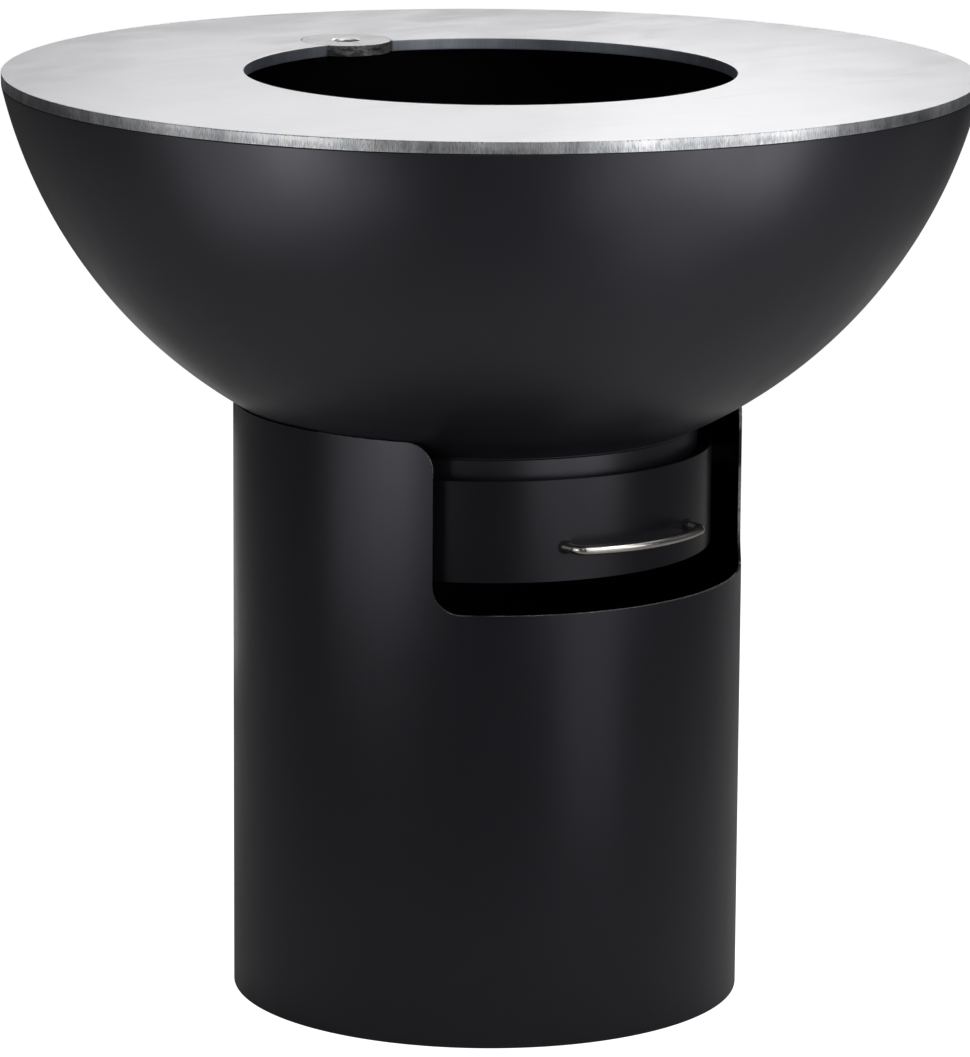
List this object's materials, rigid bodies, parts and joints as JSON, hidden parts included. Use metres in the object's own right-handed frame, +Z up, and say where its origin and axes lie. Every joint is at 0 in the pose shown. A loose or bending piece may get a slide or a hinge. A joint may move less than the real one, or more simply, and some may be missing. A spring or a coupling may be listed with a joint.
{
  "type": "fire bowl grill pedestal",
  "caption": "Round fire bowl grill with a ring-shaped steel cooking plate on a black cylinder pedestal, with a pull-out ash drawer in a rounded notch.",
  "frame": {"origin": "centre of the pedestal's foot, on the ground, on the vertical axis of the bowl", "axes": "+Z up, -Y out of the notch, the way the ash drawer opens, +X to the right of someone looking along +Y at the drawer"},
  "size_m": [0.9999, 1, 0.962],
  "materials": {
    "black_coat": "satin fine-texture black powder coat",
    "plate_steel": "bare ground steel, lightly brushed",
    "insert_steel": "bare steel, heat tinted on its rim",
    "stainless_bar": "satin stainless steel",
    "zinc_steel": "zinc plated",
    "grate_steel": "dark heat-blued steel"
  },
  "bodies": {
    "pedestal": {"pedestal_shell": "black_coat", "pedestal_base_ring": "black_coat", "fire_bowl": "black_coat", "ash_collar": "black_coat", "bowl_fixing_tabs": "black_coat", "bowl_weld_studs": "zinc_steel", "bowl_stud_washers": "zinc_steel", "bowl_stud_nuts": "zinc_steel", "drawer_rail_right": "black_coat", "drawer_rail_left": "black_coat", "rail_brackets_front": "black_coat", "rail_brackets_rear": "black_coat", "rail_screws": "zinc_steel"},
    "drawer": {"drawer_front": "black_coat", "ash_tray": "black_coat", "drawer_handle": "stainless_bar", "handle_washers": "zinc_steel", "handle_screws": "zinc_steel"},
    "plate": {"cooking_plate": "plate_steel", "insert_ledge": "plate_steel", "plate_locating_lugs": "plate_steel"},
    "insert": {"plate_insert": "insert_steel"},
    "grate": {"ash_grate": "grate_steel"}
  },
  "joints": [
    {"name": "ash_drawer_slide", "type": "slide", "parent": "pedestal", "child": "drawer", "axis": [0, -1, 0], "range_m": [0, 0.42]},
    {"name": "plate_lift", "type": "slide", "parent": "pedestal", "child": "plate", "axis": [0, 0, 1], "range_m": [0, 0.15]},
    {"name": "insert_lift", "type": "slide", "parent": "plate", "child": "insert", "axis": [0, 0, 1], "range_m": [0, 0.06]},
    {"name": "grate_lift", "type": "slide", "parent": "pedestal", "child": "grate", "axis": [0, 0, 1], "range_m": [0, 0.42]}
  ]
}
